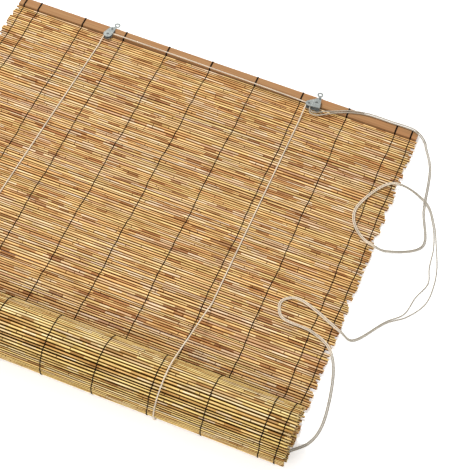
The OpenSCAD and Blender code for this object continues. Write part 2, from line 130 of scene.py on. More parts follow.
class Recipe:
    """Adds and links the nodes of one material."""

    def __init__(self, name: str) -> None:
        """Starts a material.

        Args:
            name: The material's name.
        """
        self.material = bpy.data.materials.new(name)
        self.material.use_nodes = True
        self.tree = self.material.node_tree
        self.surface = self.tree.nodes["Principled BSDF"]

    def node(self, kind: str, **settings: object) -> bpy.types.Node:
        """Adds a node.

        Args:
            kind: The node's type name, after ShaderNode.
            settings: Properties to set on it.

        Returns:
            The new node.
        """
        made = self.tree.nodes.new("ShaderNode" + kind)
        for key, value in settings.items():
            setattr(made, key, value)
        return made

    def feed(self, socket: Socket, value: Feed) -> None:
        """Links a socket to another one, or sets its value.

        Args:
            socket: The input to feed.
            value: An output socket, or a plain value.
        """
        if isinstance(value, bpy.types.NodeSocket):
            self.tree.links.new(value, socket)
        else:
            socket.default_value = value

    def layer(self, layer: Layer) -> bpy.types.Node:
        """Reads a point attribute of the mesh.

        Args:
            layer: The attribute.

        Returns:
            The attribute node.
        """
        return self.node("Attribute", attribute_name=layer.value)

    def combine(self, *parts: Feed) -> Socket:
        """Joins up to three numbers into a vector.

        Args:
            parts: Numbers or sockets for X, Y and Z.

        Returns:
            The vector's socket.
        """
        made = self.node("CombineXYZ")
        for socket, part in zip(made.inputs, parts):
            self.feed(socket, part)
        return made.outputs[0]

    def split(self, vector: Socket) -> list[Socket]:
        """Splits a vector.

        Args:
            vector: The vector's socket.

        Returns:
            The sockets of X, Y and Z.
        """
        made = self.node("SeparateXYZ")
        self.feed(made.inputs[0], vector)
        return list(made.outputs)

    def maths(self, operation: str, *values: Feed) -> Socket:
        """Works out a number.

        Args:
            operation: Name of the sum.
            values: Numbers or sockets that it takes.

        Returns:
            The result's socket.
        """
        made = self.node("Math", operation=operation)
        for socket, value in zip(made.inputs, values):
            self.feed(socket, value)
        return made.outputs[0]

    def times(self, value: Feed, factor: Feed) -> Socket:
        """Multiplies two numbers."""
        return self.maths("MULTIPLY", value, factor)

    def fit(self, value: Feed, gain: Feed, base: Feed) -> Socket:
        """Multiplies a number by a gain and adds a base."""
        return self.maths("MULTIPLY_ADD", value, gain, base)

    def stretched(self, parts: list[Socket], scales: Point) -> Socket:
        """Joins three numbers into a vector, each of them times its own scale."""
        return self.combine(*[self.times(part, scale) for part, scale in zip(parts, scales)])

    def noise(self, vector: Feed, scale: float = 1.0, detail: float = 2.0) -> Socket:
        """Adds smooth noise.

        Args:
            vector: Coordinates to read it at.
            scale: How fine it is.
            detail: How many finer layers it has.

        Returns:
            The socket of its value.
        """
        made = self.node("TexNoise")
        self.feed(made.inputs["Vector"], vector)
        self.feed(made.inputs["Scale"], scale)
        self.feed(made.inputs["Detail"], detail)
        return made.outputs["Fac"]

    def lengths(self, place: Feed, blur: float = 0.0) -> Socket:
        """Cuts a line into lengths of uneven size, each with a random number.

        Args:
            place: Place along the line, about one for each length.
            blur: How softly one length turns into the next.

        Returns:
            The socket of the random number.
        """
        made = self.node("TexVoronoi", voronoi_dimensions="1D", feature="SMOOTH_F1" if blur else "F1")
        if blur:
            self.feed(made.inputs["Smoothness"], blur)
        self.feed(made.inputs["W"], place)
        self.feed(made.inputs["Scale"], 1.0)
        return self.split(made.outputs["Color"])[0]

    def ramp(self, factor: Feed, places: tuple[float, ...], colours: tuple[Colour, ...],
             steps: bool = False) -> Socket:
        """Turns a number into a colour.

        Args:
            factor: The number.
            places: Where each colour stands, from zero to one.
            colours: The colours.
            steps: Whether the colours change at once.

        Returns:
            The colour's socket.
        """
        made = self.node("ValToRGB")
        bar = made.color_ramp
        bar.interpolation = "CONSTANT" if steps else "LINEAR"
        while len(bar.elements) < len(places):
            bar.elements.new(1.0)
        for element, place, colour in zip(bar.elements, places, colours):
            element.position = place
            element.color = colour
        self.feed(made.inputs[0], factor)
        return made.outputs[0]

    def window(self, factor: Feed, low: float, high: float) -> Socket:
        """Stretches a range of a number to zero and one.

        Args:
            factor: The number.
            low: What becomes zero.
            high: What becomes one.

        Returns:
            The result's socket.
        """
        made = self.node("MapRange")
        for key, value in {"Value": factor, "From Min": low, "From Max": high}.items():
            self.feed(made.inputs[key], value)
        return made.outputs[0]

    def mix(self, factor: Feed, first: Feed, second: Feed, way: str = "MIX") -> Socket:
        """Mixes two colours.

        Args:
            factor: Share of the second.
            first: First colour or its socket.
            second: Second colour or its socket.
            way: How they are mixed.

        Returns:
            The colour's socket.
        """
        made = self.node("Mix", data_type="RGBA", blend_type=way)
        self.feed(made.inputs[0], factor)
        for place, colour in zip(COLOUR_INPUTS, (first, second)):
            self.feed(made.inputs[place], colour)
        return made.outputs[COLOUR_OUTPUT]

    def relief(self, height: Feed, depth: float, strength: float) -> None:
        """Gives the surface a fine relief.

        Args:
            height: Socket of its height, from zero to one.
            depth: Its depth in metres.
            strength: How much of it shows.
        """
        made = self.node("Bump")
        self.feed(made.inputs["Strength"], strength)
        self.feed(made.inputs["Distance"], depth)
        self.feed(made.inputs["Height"], height)
        self.feed(self.surface.inputs["Normal"], made.outputs[0])

    def finish(self, **sockets: Feed) -> bpy.types.Material:
        """Feeds the surface's own sockets.

        Args:
            sockets: Values or sockets by name, with _ for a space.

        Returns:
            The finished material.
        """
        for key, value in sockets.items():
            self.feed(self.surface.inputs[key.replace("_", " ")], value)
        return self.material


@dataclass(frozen=True)
class ReedFinish:
    """Dry reed: straw with pale, brown, rusty, dusky and green lengths, dark at the nodes, with painted shade
    of the gaps on the flanks.
    """

    name: str = "dry_reed"
    straw: Colour = paint(255, 224, 166)
    honey: Colour = paint(250, 210, 147)
    pale: Colour = paint(255, 242, 212)
    brown: Colour = paint(206, 156, 106)
    rust: Colour = paint(204, 146, 104)
    dusk: Colour = paint(224, 191, 166)
    green: Colour = paint(244, 225, 160)
    scar: Colour = paint(160, 104, 62)
    bloom: Colour = paint(255, 246, 230)
    flank_shade_tint: Colour = paint(242, 209, 166)
    shade: Colour = paint(76, 34, 2)
    fibre_dim: Colour = paint(160, 140, 108)
    fibre_mean: Colour = paint(230, 226, 218)
    fibre_bright: Colour = paint(255, 255, 255)
    number_shift: float = 37.31
    tone_length: float = 0.075
    tone_blur: float = 0.35
    tone_places: tuple[float, ...] = (0.0, 0.07, 0.20, 0.42, 0.74, 0.83, 0.95)
    tone_share: float = 0.65
    own_scale: float = 5.7
    own_places: tuple[float, ...] = (0.30, 0.46, 0.56, 0.70)
    fleck_length: float = 0.028
    fleck_places: tuple[float, ...] = (0.0, 0.05, 0.09, 0.90)
    dark_share: float = 0.75
    bloom_share: float = 0.5
    fibre_scales: Point = (26.0, 9.7, 3.0)
    fibre_detail: float = 4.0
    fibre_places: tuple[float, ...] = (0.25, 0.5, 0.75)
    ring_and_shade_window: Pair = (0.35, 0.9)
    ring_and_shade_share: float = 0.9
    flank_shade_tint_window: Pair = (0.10, 0.60)
    gap_shade_window: Pair = (0.38, 0.70)
    gap_shade_shift: float = 3.17
    gap_shade_fit: Pair = (0.24, 0.76)
    relief: Pair = (0.0003, 0.5)
    rough_fit: Pair = (0.25, 0.34)
    specular: float = 0.06

    def material(self) -> bpy.types.Material:
        """Makes the material from a reed's own coordinates: place along, number, distance from the crest.

        Returns:
            The material.
        """
        recipe = Recipe(self.name)
        along, number, flank = recipe.split(recipe.layer(Layer.GRAIN).outputs["Vector"])
        place = recipe.stretched([along, number, flank], self.fibre_scales)
        fibre = recipe.noise(place, detail=self.fibre_detail)
        body = self.lengths_of_colour(recipe, along, number)
        light = recipe.ramp(fibre, self.fibre_places, (self.fibre_dim, self.fibre_mean, self.fibre_bright))
        body = recipe.mix(1.0, body, light, "MULTIPLY")
        body = self.shaded(recipe, body, number, flank)
        recipe.relief(fibre, *self.relief)
        rough = recipe.fit(fibre, *self.rough_fit)
        return recipe.finish(Base_Color=body, Roughness=rough, Specular_IOR_Level=self.specular)

    def lengths_of_colour(self, recipe: Recipe, along: Socket, number: Socket) -> Socket:
        """Colours each reed by itself, then its lengths, then its flecks.

        Args:
            recipe: The material in the making.
            along: Place along the reed.
            number: The reed's own number.

        Returns:
            The colour's socket.
        """
        start = recipe.times(number, self.number_shift)
        tone = recipe.lengths(recipe.fit(along, 1 / self.tone_length, start), self.tone_blur)
        fleck = recipe.lengths(recipe.fit(along, 1 / self.fleck_length, start))
        own = recipe.noise(recipe.combine(number, number, 0.0), self.own_scale, 0.0)
        plain = recipe.ramp(own, self.own_places, (self.brown, self.honey, self.straw, self.pale))
        toned = recipe.ramp(tone, self.tone_places, (
            self.rust, self.brown, self.honey, self.straw, self.green, self.pale, self.dusk))
        body = recipe.mix(self.tone_share, plain, toned)
        spots = recipe.ramp(fleck, self.fleck_places, (
            self.scar, self.brown, self.straw, self.bloom), steps=True)
        dark = recipe.times(recipe.maths("LESS_THAN", fleck, self.fleck_places[2]), self.dark_share)
        bright = recipe.times(recipe.maths("GREATER_THAN", fleck, self.fleck_places[3]), self.bloom_share)
        return recipe.mix(recipe.maths("MAXIMUM", dark, bright), body, spots)

    def shaded(self, recipe: Recipe, body: Socket, number: Socket, flank: Socket) -> Socket:
        """Darkens the rings at the nodes, paints shade where the mark layer asks for it, and paints the shade
        of the gap beside each reed on its flanks, with a warm tint where the flank turns.

        Args:
            recipe: The material in the making.
            body: The colour so far.
            number: The reed's own number.
            flank: Distance from the crest.

        Returns:
            The colour's socket.
        """
        # Node rings are the reed's own dark joints; the same mark also carries painted shade at the bore
        # bottoms and on the roll's inner turns
        ring = recipe.window(recipe.layer(Layer.MARK).outputs["Fac"], *self.ring_and_shade_window)
        body = recipe.mix(recipe.times(ring, self.ring_and_shade_share), body, self.shade)
        # Painted shade: a warm tint where the flank turns towards the gap
        body = recipe.mix(recipe.window(flank, *self.flank_shade_tint_window), body, self.flank_shade_tint, "MULTIPLY")
        # Painted shade of the gap beside each reed, stronger on some reeds than on others
        gap_shade = recipe.fit(recipe.lengths(recipe.times(number, self.gap_shade_shift)), *self.gap_shade_fit)
        return recipe.mix(recipe.times(recipe.window(flank, *self.gap_shade_window), gap_shade), body, self.shade)


@dataclass(frozen=True)
class BattenFinish:
    """Planed brown batten, stained and left matt, with grain along its length."""

    name: str = "stained_batten"
    light: Colour = paint(162, 124, 84)
    middle: Colour = paint(150, 110, 72)
    dark: Colour = paint(126, 88, 54)
    warm: Colour = paint(160, 112, 72)
    grain_scales: Point = (7.0, 420.0, 420.0)
    grain_detail: float = 5.0
    grain_places: tuple[float, ...] = (0.28, 0.45, 0.70)
    patch_scales: Point = (1.0, 3.0, 1.0)
    patch_size: float = 9.0
    patch_window: Pair = (0.48, 0.68)
    patch_share: float = 0.6
    relief: Pair = (0.0004, 0.35)
    rough_fit: Pair = (0.2, 0.55)
    specular: float = 0.15

    def material(self) -> bpy.types.Material:
        """Makes the material from the batten's place in the frame, stretched along its length.

        Returns:
            The material.
        """
        recipe = Recipe(self.name)
        place = recipe.split(recipe.node("TexCoord").outputs["Object"])
        grain = recipe.noise(recipe.stretched(place, self.grain_scales), detail=self.grain_detail)
        patch = recipe.noise(recipe.stretched(place, self.patch_scales), self.patch_size)
        body = recipe.ramp(grain, self.grain_places, (self.dark, self.middle, self.light))
        patched = recipe.times(recipe.window(patch, *self.patch_window), self.patch_share)
        body = recipe.mix(patched, body, self.warm)
        recipe.relief(grain, *self.relief)
        rough = recipe.fit(grain, *self.rough_fit)
        return recipe.finish(Base_Color=body, Roughness=rough, Specular_IOR_Level=self.specular)


@dataclass(frozen=True)
class TwineFinish:
    """Dark brown twisted twine."""

    name: str = "dark_twine"
    deep: Colour = paint(14, 8, 4)
    worn: Colour = paint(38, 24, 14)
    twist_length: float = 0.0022
    lint_scale: float = 260.0
    lint_detail: float = 3.0
    lint_places: Pair = (0.35, 0.8)
    relief: Pair = (0.0003, 0.7)
    roughness: float = 0.85
    specular: float = 0.1

    def material(self) -> bpy.types.Material:
        """Makes the material from the twine's own coordinates, with its twist as relief.

        Returns:
            The material.
        """
        recipe = Recipe(self.name)
        along, _, round_share = recipe.split(recipe.layer(Layer.GRAIN).outputs["Vector"])
        turned = recipe.times(round_share, math.tau)
        twist = recipe.maths("SINE", recipe.fit(along, math.tau / self.twist_length, turned))
        lint = recipe.noise(recipe.combine(along, round_share, 0.0), self.lint_scale, self.lint_detail)
        body = recipe.ramp(lint, self.lint_places, (self.deep, self.worn))
        recipe.relief(recipe.window(twist, -1.0, 1.0), *self.relief)
        return recipe.finish(Base_Color=body, Roughness=self.roughness, Specular_IOR_Level=self.specular)


@dataclass(frozen=True)
class CottonFinish:
    """Natural cotton cord with lint, with painted shade between its plies and where it lies low or past the
    mat's end.
    """

    name: str = "natural_cotton"
    cream: Colour = paint(252, 236, 212)
    floor_shade: Colour = paint(200, 192, 176)
    groove_shade_and_soil: Colour = paint(112, 94, 72)
    groove_share: float = 0.55
    floor_shade_rise: Pair = (0.0100, 0.0080)
    floor_shade_edge: Pair = (0.450, 0.458)
    lint_scales: Point = (500.0, 3.0, 6.0)
    lint_detail: float = 3.0
    soil_scale: float = 14.0
    soil_window: Pair = (0.45, 0.75)
    soil_share: float = 0.35
    relief: Pair = (0.0003, 0.6)
    roughness: float = 0.9
    specular: float = 0.2
    sheen: float = 0.25
    sheen_roughness: float = 0.5

    def material(self) -> bpy.types.Material:
        """Makes the material from the cord's own coordinates: place along, ply, and depth between the plies.

        Returns:
            The material.
        """
        recipe = Recipe(self.name)
        along, ply, depth = recipe.split(recipe.layer(Layer.GRAIN).outputs["Vector"])
        lint = recipe.noise(recipe.stretched([along, ply, depth], self.lint_scales), detail=self.lint_detail)
        soil = recipe.noise(recipe.combine(along, 0.0, 0.0), self.soil_scale)
        place = recipe.split(recipe.node("TexCoord").outputs["Object"])
        # Painted shade: greyer where the cord lies low on the floor or past the mat's end
        low = recipe.window(place[2], *self.floor_shade_rise)
        beside = recipe.window(place[0], *self.floor_shade_edge)
        body = recipe.mix(recipe.maths("MAXIMUM", low, beside), self.cream, self.floor_shade)
        # Painted shade between the plies
        body = recipe.mix(recipe.times(depth, self.groove_share), body, self.groove_shade_and_soil)
        soiled = recipe.times(recipe.window(soil, *self.soil_window), self.soil_share)
        body = recipe.mix(soiled, body, self.groove_shade_and_soil)
        recipe.relief(lint, *self.relief)
        return recipe.finish(Base_Color=body, Roughness=self.roughness, Specular_IOR_Level=self.specular,
                             Sheen_Weight=self.sheen, Sheen_Roughness=self.sheen_roughness)


@dataclass(frozen=True)
class MetalFinish:
    """Zinc on steel, with a spangle and dull streaks."""

    name: str
    bright: Colour
    dull: Colour
    metallic: float
    roughness: float
    spangle: float
    cloud_share: float = 0.5
    cloud_scale: float = 0.4
    cloud_detail: float = 4.0
    cloud_rough: float = 0.3
    places: Pair = (0.25, 0.75)
    relief: Pair = (0.0002, 0.3)

    def material(self) -> bpy.types.Material:
        """Makes the material from the metal's place in the frame.

        Returns:
            The material.
        """
        recipe = Recipe(self.name)
        place = recipe.node("TexCoord").outputs["Object"]
        cells = recipe.node("TexVoronoi")
        recipe.feed(cells.inputs["Vector"], place)
        recipe.feed(cells.inputs["Scale"], self.spangle)
        facet = recipe.split(cells.outputs["Color"])[0]
        cloud = recipe.noise(place, self.spangle * self.cloud_scale, self.cloud_detail)
        body = recipe.ramp(recipe.mix(self.cloud_share, facet, cloud), self.places, (self.dull, self.bright))
        recipe.relief(cloud, *self.relief)
        rough = recipe.fit(cloud, self.cloud_rough, self.roughness)
        return recipe.finish(Base_Color=body, Roughness=rough, Metallic=self.metallic)


@dataclass(frozen=True)
class FloorFinish:
    """Plain pale paper under the blind."""

    name: str = "pale_floor"
    white: Colour = paint(250, 250, 250)
    glow: float = 0.25
    roughness: float = 0.9
    specular: float = 0.1

    def material(self) -> bpy.types.Material:
        """Makes the plain matt material.

        Returns:
            The material.
        """
        return Recipe(self.name).finish(
            Base_Color=self.white, Roughness=self.roughness, Specular_IOR_Level=self.specular,
            Emission_Color=self.white, Emission_Strength=self.glow)


@dataclass
class Draft:
    """A mesh in the making: its points, faces and point attributes."""

    points: list[np.ndarray] = field(default_factory=list)
    faces: list[tuple[int, ...]] = field(default_factory=list)
    grain: list[np.ndarray] = field(default_factory=list)
    mark: list[np.ndarray] = field(default_factory=list)
    smooth: list[bool] = field(default_factory=list)
    count: int = 0

    def tube(self, rings: np.ndarray, grain: np.ndarray, mark: np.ndarray | None = None,
             crisp: int = 0) -> None:
        """Adds a closed tube.

        Args:
            rings: Points of its rings, as rings by sides by three.
            grain: Its own coordinates, of the same form.
            mark: Its marks, as rings by sides, or none.
            crisp: How many spans at each end have flat faces.
        """
        total, sides = rings.shape[:2]
        first = self.count
        self.points.append(rings.reshape(-1, 3))
        self.grain.append(grain.reshape(-1, 3))
        self.mark.append(np.zeros(total * sides) if mark is None else mark.reshape(-1))
        for ring in range(total - 1):
            low = first + ring * sides
            for side in range(sides):
                after = (side + 1) % sides
                self.faces.append((low + side, low + after, low + sides + after, low + sides + side))
            self.smooth += [crisp <= ring < total - 1 - crisp] * sides
        self.faces.append(tuple(range(first + sides - 1, first - 1, -1)))
        self.faces.append(tuple(range(first + (total - 1) * sides, first + total * sides)))
        self.smooth += [False, False]
        self.count += total * sides

    def build(self, name: str, material: bpy.types.Material) -> bpy.types.Object:
        """Makes the mesh object.

        Args:
            name: Its name.
            material: Its material.

        Returns:
            The new object, linked to the scene.
        """
        mesh = bpy.data.meshes.new(name)
        mesh.from_pydata(np.concatenate(self.points).tolist(), [], self.faces)
        grain = mesh.attributes.new(Layer.GRAIN.value, "FLOAT_VECTOR", "POINT")
        grain.data.foreach_set("vector", np.concatenate(self.grain).astype(np.float32).ravel())
        mark = mesh.attributes.new(Layer.MARK.value, "FLOAT", "POINT")
        mark.data.foreach_set("value", np.concatenate(self.mark).astype(np.float32))
        mesh.polygons.foreach_set("use_smooth", self.smooth)
        mesh.materials.append(material)
        mesh.update()
        made = bpy.data.objects.new(name, mesh)
        bpy.context.scene.collection.objects.link(made)
        return made


def seat(piece: bpy.types.Object, body: Body, slot: Slot, *nodes: str) -> None:
    """Sets a piece on its body, in the place of the solids that it stands for.

    Args:
        piece: The piece.
        body: The body that carries it.
        slot: Its material slot; not used.
        nodes: The solids' nodes.
    """
    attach(piece, body.value)
    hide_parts(*nodes)
    LOG.info("%s rides on %s", piece.name, body.value)


def between(t: np.ndarray, start: float, end: float, first: np.ndarray, last: np.ndarray) -> np.ndarray:
    """Goes straight from one point to another.

    Args:
        t: Where to go, from the start to the end.
        start: Where the first point is.
        end: Where the last point is.
        first: The first point, or one for each place.
        last: The last point, or one for each place.

    Returns:
        A point for each place.
    """
    return (end - t) / (end - start) * first + (t - start) / (end - start) * last


def curve_through(points: np.ndarray, per_span: int = 24) -> list[np.ndarray]:
    """Runs a smooth curve through points, paced by the roots of their distances.

    Args:
        points: The points, in order.
        per_span: Steps between two of them.

    Returns:
        The curve's points for each span, the last point left out.
    """
    wide = np.vstack([2 * points[0] - points[1], points, 2 * points[-1] - points[-2]])
    knots = np.concatenate([[0.0], np.cumsum(np.linalg.norm(np.diff(wide, axis=0), axis=1) ** 0.5)])
    spans = []
    for i in range(1, len(wide) - 2):
        k0, k1, k2, k3 = knots[i - 1:i + 3]
        p0, p1, p2, p3 = wide[i - 1:i + 3]
        t = np.linspace(k1, k2, per_span, endpoint=False)[:, None]
        a1 = between(t, k0, k1, p0, p1)
        a2 = between(t, k1, k2, p1, p2)
        a3 = between(t, k2, k3, p2, p3)
        b1 = between(t, k0, k2, a1, a2)
        b2 = between(t, k1, k3, a2, a3)
        spans.append(between(t, k1, k2, b1, b2))
    return spans


def smooth_line(points: np.ndarray, per_span: int = 24) -> np.ndarray:
    """Runs one smooth line through points, the last one included."""
    return np.vstack(curve_through(points, per_span) + [points[-1]])


def places_along(line: np.ndarray) -> np.ndarray:
    """Measures how far along a line each of its points is."""
    return np.concatenate([[0.0], np.cumsum(np.linalg.norm(np.diff(line, axis=0), axis=1))])


def evenly(line: np.ndarray, step: float) -> np.ndarray:
    """Spaces the points of a line evenly.

    Args:
        line: The line's points.
        step: About how far apart they end up.

    Returns:
        The new points.
    """
    along = places_along(line)
    places = np.linspace(0.0, along[-1], max(2, math.ceil(along[-1] / step) + 1))
    return np.stack([np.interp(places, along, line[:, axis]) for axis in range(3)], axis=1)


def length_of(line: np.ndarray) -> float:
    """Measures a line of points."""
    return float(np.linalg.norm(np.diff(line, axis=0), axis=1).sum())


def units(rows: np.ndarray) -> np.ndarray:
    """Brings rows of vectors to a length of one."""
    return rows / np.linalg.norm(rows, axis=1)[:, None]


def round_angles(count: int) -> np.ndarray:
    """Spaces angles evenly round a circle."""
    return np.arange(count) * math.tau / count


def frames_along(line: np.ndarray, steep: float = 0.9) -> tuple[np.ndarray, np.ndarray]:
    """Carries a frame along a line without twisting it.

    Args:
        line: The line's points.
        steep: How upright its start may be before the frame starts from Y and not from Z.

    Returns:
        Two directions across the line at each point.
    """
    way = units(np.gradient(line, axis=0))
    first = np.zeros_like(line)
    up = np.array([0.0, 0.0, 1.0]) if abs(way[0, 2]) < steep else np.array([0.0, 1.0, 0.0])
    first[0] = np.cross(up, way[0])
    first[0] /= np.linalg.norm(first[0])
    for i in range(1, len(line)):
        flat = first[i - 1] - way[i] * (first[i - 1] @ way[i])
        first[i] = flat / np.linalg.norm(flat)
    return first, np.cross(way, first)


@dataclass
class Viewpoint:
    """The camera, fitted to the warp threads, the rail and the roll."""

    place: Point = (0.6235, -1.5948, 2.3470)
    right: Point = (0.930207558, 0.358798164, 0.077316080)
    down: Point = (0.335328409, -0.745138130, -0.576475520)
    ahead: Point = (-0.149227199, 0.562168164, -0.813448338)
    lens_mm: float = 113.42
    sensor_mm: float = 36.0
    clip_m: float = 50.0

    def build(self) -> None:
        """Makes the camera and sets it on the scene."""
        data = bpy.data.cameras.new("viewpoint")
        data.lens = self.lens_mm
        data.sensor_width = self.sensor_mm
        data.clip_end = self.clip_m
        camera = bpy.data.objects.new("viewpoint", data)
        columns = [self.right, [-c for c in self.down], [-c for c in self.ahead], self.place]
        rows = [[column[row] for column in columns] for row in range(3)]
        camera.matrix_world = Matrix(rows + [[0, 0, 0, 1]])
        bpy.context.scene.collection.objects.link(camera)
        bpy.context.scene.camera = camera


@dataclass
class Studio:
    """Floor, sky and lamps: soft light from above the rail's side."""

    floor_reach: float = 6.0
    sky_strength: float = 0.45
    sky_colour: Colour = paint(255, 255, 255)
    key_place: Point = (-1.0, 1.4, 3.0)
    key_size: float = 0.8
    key_power: float = 95.0
    fill_place: Point = (0.2, -2.2, 2.3)
    fill_size: float = 2.0
    fill_power: float = 64.0

    def build(self) -> None:
        """Makes the floor, the sky and the lamps."""
        reach = self.floor_reach
        mesh = bpy.data.meshes.new("floor")
        corners = [(-reach, -reach, 0), (reach, -reach, 0), (reach, reach, 0), (-reach, reach, 0)]
        mesh.from_pydata(corners, [], [(0, 1, 2, 3)])
        mesh.materials.append(FloorFinish().material())
        floor = bpy.data.objects.new("floor", mesh)
        bpy.context.scene.collection.objects.link(floor)
        world = bpy.data.worlds.new("sky")
        world.use_nodes = True
        sky = world.node_tree.nodes["Background"]
        sky.inputs["Color"].default_value = self.sky_colour
        sky.inputs["Strength"].default_value = self.sky_strength
        bpy.context.scene.world = world
        bpy.context.scene.view_settings.view_transform = "Standard"
        self.lamp("key", self.key_place, self.key_size, self.key_power)
        self.lamp("fill", self.fill_place, self.fill_size, self.fill_power)

    def lamp(self, name: str, place: Point, size: float, power: float) -> None:
        """Makes a square lamp that faces the middle of the floor.

        Args:
            name: Its name.
            place: Where it hangs.
            size: Its side.
            power: Its power in watts.
        """
        data = bpy.data.lights.new(name, "AREA")
        data.size = size
        data.energy = power
        lamp = bpy.data.objects.new(name, data)
        lamp.location = place
        lamp.rotation_euler = (-lamp.location).to_track_quat("-Z", "Y").to_euler()
        bpy.context.scene.collection.objects.link(lamp)


@dataclass
class CordMaker:
    """Twists cords of several plies along their routes."""

    material: bpy.types.Material
    diameter: float = 0.003
    plies: int = 3
    ply_sides: int = 5
    lay_length: float = 0.0085
    step: float = 0.0012

    def twist(self, name: str, route: np.ndarray) -> tuple[bpy.types.Object, np.ndarray]:
        """Makes one cord.

        Args:
            name: Its name.
            route: Its middle line.

        Returns:
            The cord, and the evenly spaced points that it follows.
        """
        line = evenly(route, self.step)
        first, second = frames_along(line)
        along = np.linspace(0.0, length_of(line), len(line))
        spread = 1 / math.sin(math.pi / self.plies)
        ply_r = self.diameter / 2 / (1 + spread)
        draft = Draft()
        round_ply = round_angles(self.ply_sides)
        for ply in range(self.plies):
            turn = math.tau * (along / self.lay_length + ply / self.plies)
            outward = np.cos(turn)[:, None] * first + np.sin(turn)[:, None] * second
            sideways = np.cos(turn)[:, None] * second - np.sin(turn)[:, None] * first
            centre = line + spread * ply_r * outward
            rings = (centre[:, None] + ply_r * (np.cos(round_ply)[None, :, None] * outward[:, None]
                                                + np.sin(round_ply)[None, :, None] * sideways[:, None]))
            grain = np.zeros_like(rings)
            grain[..., 0] = along[:, None]
            grain[..., 1] = ply
            grain[..., 2] = (1 - np.cos(round_ply)) / 2
            draft.tube(rings, grain)
        return draft.build(name, self.material), line


@dataclass(frozen=True)
class LiftRoute:
    """One lift cord's route: its points down the front, and where it meets the roll and the rail's back."""

    side: str
    over_lock: bool
    front: tuple[Point, ...]
    roll_x: float
    hole_x: float


LEFT_LIFT = LiftRoute(
    side="left", over_lock=False, roll_x=-0.274, hole_x=-0.2395, front=(
        (-0.2460, 0.39185, 0.01475), (-0.2460, 0.38285, 0.01475), (-0.2465, 0.37000, 0.01220),
        (-0.2470, 0.35760, 0.00970), (-0.2480, 0.33000, 0.00970), (-0.2560, 0.10000, 0.00970),
        (-0.2650, -0.14185, 0.00970)))
RIGHT_LIFT = LiftRoute(
    side="right", over_lock=True, roll_x=0.212, hole_x=0.2166, front=(
        (0.2120, 0.38785, 0.01865), (0.2120, 0.37885, 0.01865), (0.2120, 0.35500, 0.01420),
        (0.2120, 0.33400, 0.00970), (0.2120, 0.31000, 0.00970), (0.2120, 0.10000, 0.00970),
        (0.2120, -0.14185, 0.00970)))


